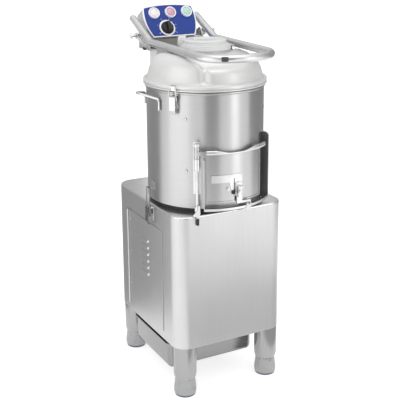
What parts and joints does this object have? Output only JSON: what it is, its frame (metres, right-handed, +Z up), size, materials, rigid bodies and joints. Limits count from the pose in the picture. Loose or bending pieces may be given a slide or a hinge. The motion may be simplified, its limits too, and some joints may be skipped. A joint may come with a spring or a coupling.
{
  "type": "electric potato peeler",
  "caption": "Free-standing potato peeler: a drum with an abrasive disc on a pedestal, hinged hood with feed lid, front outlet door, peel tray and control panel.",
  "frame": {"origin": "on the floor, under the middle of the whole object's bounding box", "axes": "+Z up, -Y towards the front with the outlet door, +X to the right as seen from the front"},
  "size_m": [0.3528, 0.461, 0.9203],
  "materials": {
    "steel_sheet": "brushed stainless sheet",
    "steel_barrel": "rolled stainless drum, brushed",
    "steel_bright": "polished stainless tube and fittings",
    "machined_steel": "turned steel",
    "cast_metal": "cast and machined",
    "hood_plastic": "satin light grey moulding",
    "lid_plastic": "translucent white moulding",
    "white_plastic": "glossy white",
    "grey_plastic": "satin grey moulding",
    "blue_panel": "satin blue printed face",
    "black_plastic": "black moulding",
    "stop_red": "translucent red cap",
    "start_green": "translucent green cap",
    "abrasive": "dark grit in resin",
    "dark_rubber": "moulded rubber",
    "motor_paint": "dark enamel on cast iron",
    "foot_plastic": "dark grey moulded foot with a steel stem"
  },
  "bodies": {
    "base": {"pedestal_shell": "steel_sheet", "base_plate": "steel_sheet", "leg_tubes": "steel_bright", "barrel_shell": "steel_barrel", "barrel_floor": "steel_sheet", "abrasive_liner": "abrasive", "drain_pipe": "steel_bright", "bearing_housing": "cast_metal", "spindle_bearings": "machined_steel", "motor_frame": "motor_paint", "motor_mount": "steel_sheet", "drive_belt": "dark_rubber", "rear_post": "steel_sheet", "frame_yoke": "steel_sheet", "hinge_pins": "steel_bright", "control_housing": "grey_plastic", "control_rim": "white_plastic", "control_panel": "blue_panel", "control_bezels": "white_plastic", "power_lamp": "white_plastic", "control_switches": "black_plastic", "stop_straps": "steel_bright", "barrel_bails": "steel_bright", "latch_fixings": "steel_bright", "access_hinge": "steel_bright", "tray_runners": "steel_bright", "discharge_chute": "steel_bright", "door_hinge": "steel_bright", "cable_gland": "black_plastic", "case_screws": "steel_bright"},
    "hood": {"hood_shell": "hood_plastic", "hood_gasket": "dark_rubber", "lid_hinge": "steel_bright", "tube_frame": "steel_bright", "frame_ears": "steel_bright", "hood_keeper": "steel_bright"},
    "feed_lid": {"feed_lid": "lid_plastic"},
    "front_door": {"discharge_door": "steel_sheet", "door_liner": "dark_rubber"},
    "door_latch": {"door_latch_lever": "steel_bright"},
    "hood_latch": {"hood_latch_lever": "steel_bright"},
    "hood_wire": {"hood_latch_wire": "steel_bright"},
    "left_latch": {"left_latch_lever": "steel_bright"},
    "left_wire": {"left_latch_wire": "steel_bright"},
    "right_latch": {"right_latch_lever": "steel_bright"},
    "right_wire": {"right_latch_wire": "steel_bright"},
    "side_door": {"access_door": "steel_sheet"},
    "tray": {"peel_tray": "steel_sheet"},
    "front_left_foot": {"foot_front_left": "foot_plastic"},
    "front_right_foot": {"foot_front_right": "foot_plastic"},
    "rear_left_foot": {"foot_rear_left": "foot_plastic"},
    "rear_right_foot": {"foot_rear_right": "foot_plastic"},
    "disc_drive": {"spindle": "machined_steel", "abrasive_disc": "abrasive", "driven_pulley": "cast_metal"},
    "motor_drive": {"motor_rotor": "machined_steel", "motor_pulley": "cast_metal"},
    "timer": {"timer_knob": "black_plastic"},
    "stop": {"stop_button": "stop_red"},
    "start": {"start_button": "start_green"}
  },
  "joints": [
    {"name": "hood_hinge", "type": "hinge", "parent": "base", "child": "hood", "pos_m": [0, 0.15202, 0.849], "axis": [-1, 0, 0], "range_deg": [0, 70]},
    {"name": "feed_lid_hinge", "type": "hinge", "parent": "hood", "child": "feed_lid", "pos_m": [0.0685, -0.01898, 0.8339], "axis": [0, 1, 0], "range_deg": [0, 90]},
    {"name": "front_door_hinge", "type": "hinge", "parent": "base", "child": "front_door", "pos_m": [-0.09102, -0.14801, 0.54], "axis": [0, 0, -1], "range_deg": [0, 110]},
    {"name": "door_latch_turn", "type": "hinge", "parent": "front_door", "child": "door_latch", "pos_m": [0.00546, -0.17539, 0.516], "axis": [0.0349, -0.9994, 0], "range_deg": [0, 60]},
    {"name": "hood_lever", "type": "hinge", "parent": "base", "child": "hood_latch", "pos_m": [-0.12706, -0.10149, 0.738], "axis": [-0.5446, 0.8387, 0], "range_deg": [0, 120]},
    {"name": "hood_wire", "type": "hinge", "parent": "hood_latch", "child": "hood_wire", "pos_m": [-0.12756, -0.10182, 0.729], "axis": [-0.5446, 0.8387, 0], "range_deg": [-150, 0]},
    {"name": "left_lever", "type": "hinge", "parent": "base", "child": "left_latch", "pos_m": [-0.156, -0.01598, 0.455], "axis": [0, 1, 0], "range_deg": [0, 120]},
    {"name": "left_wire", "type": "hinge", "parent": "left_latch", "child": "left_wire", "pos_m": [-0.1566, -0.01598, 0.446], "axis": [0, 1, 0], "range_deg": [-150, 0]},
    {"name": "right_lever", "type": "hinge", "parent": "base", "child": "right_latch", "pos_m": [0.156, -0.01598, 0.455], "axis": [0, -1, 0], "range_deg": [0, 120]},
    {"name": "right_wire", "type": "hinge", "parent": "right_latch", "child": "right_wire", "pos_m": [0.1566, -0.01598, 0.446], "axis": [0, -1, 0], "range_deg": [-150, 0]},
    {"name": "side_door_hinge", "type": "hinge", "parent": "base", "child": "side_door", "pos_m": [-0.1503, 0.12542, 0.28], "axis": [0, 0, -1], "range_deg": [0, 110]},
    {"name": "tray_slide", "type": "slide", "parent": "base", "child": "tray", "axis": [-1, 0, 0], "range_m": [0, 0.2]},
    {"name": "front_left_foot_height", "type": "slide", "parent": "base", "child": "front_left_foot", "axis": [0, 0, -1], "range_m": [0, 0.025]},
    {"name": "rear_left_foot_height", "type": "slide", "parent": "base", "child": "rear_left_foot", "axis": [0, 0, -1], "range_m": [0, 0.025]},
    {"name": "front_right_foot_height", "type": "slide", "parent": "base", "child": "front_right_foot", "axis": [0, 0, -1], "range_m": [0, 0.025]},
    {"name": "rear_right_foot_height", "type": "slide", "parent": "base", "child": "rear_right_foot", "axis": [0, 0, -1], "range_m": [0, 0.025]},
    {"name": "disc_spin", "type": "hinge", "parent": "base", "child": "disc_drive", "pos_m": [0, -0.01898, 0.42], "axis": [0, 0, 1], "continuous": true},
    {"name": "motor_spin", "type": "hinge", "parent": "base", "child": "motor_drive", "pos_m": [0, 0.13102, 0.42], "axis": [0, 0, 1], "continuous": true},
    {"name": "timer_turn", "type": "hinge", "parent": "base", "child": "timer", "pos_m": [-0.015, 0.1544, 0.863], "axis": [0, 0.8572, -0.515], "range_deg": [0, 300]},
    {"name": "stop_press", "type": "slide", "parent": "base", "child": "stop", "axis": [0, 0.8572, -0.515], "range_m": [0, 0.003], "stiffness_N_per_m": 600, "springref_m": -0.002},
    {"name": "start_press", "type": "slide", "parent": "base", "child": "start", "axis": [0, 0.8572, -0.515], "range_m": [0, 0.003], "stiffness_N_per_m": 600, "springref_m": -0.002}
  ],
  "couplings": [
    {"joint": "hood_wire", "follows": "hood_lever", "ratio": -1.25},
    {"joint": "left_wire", "follows": "left_lever", "ratio": -1.25},
    {"joint": "right_wire", "follows": "right_lever", "ratio": -1.25},
    {"joint": "motor_spin", "follows": "disc_spin", "ratio": 3.75}
  ]
}
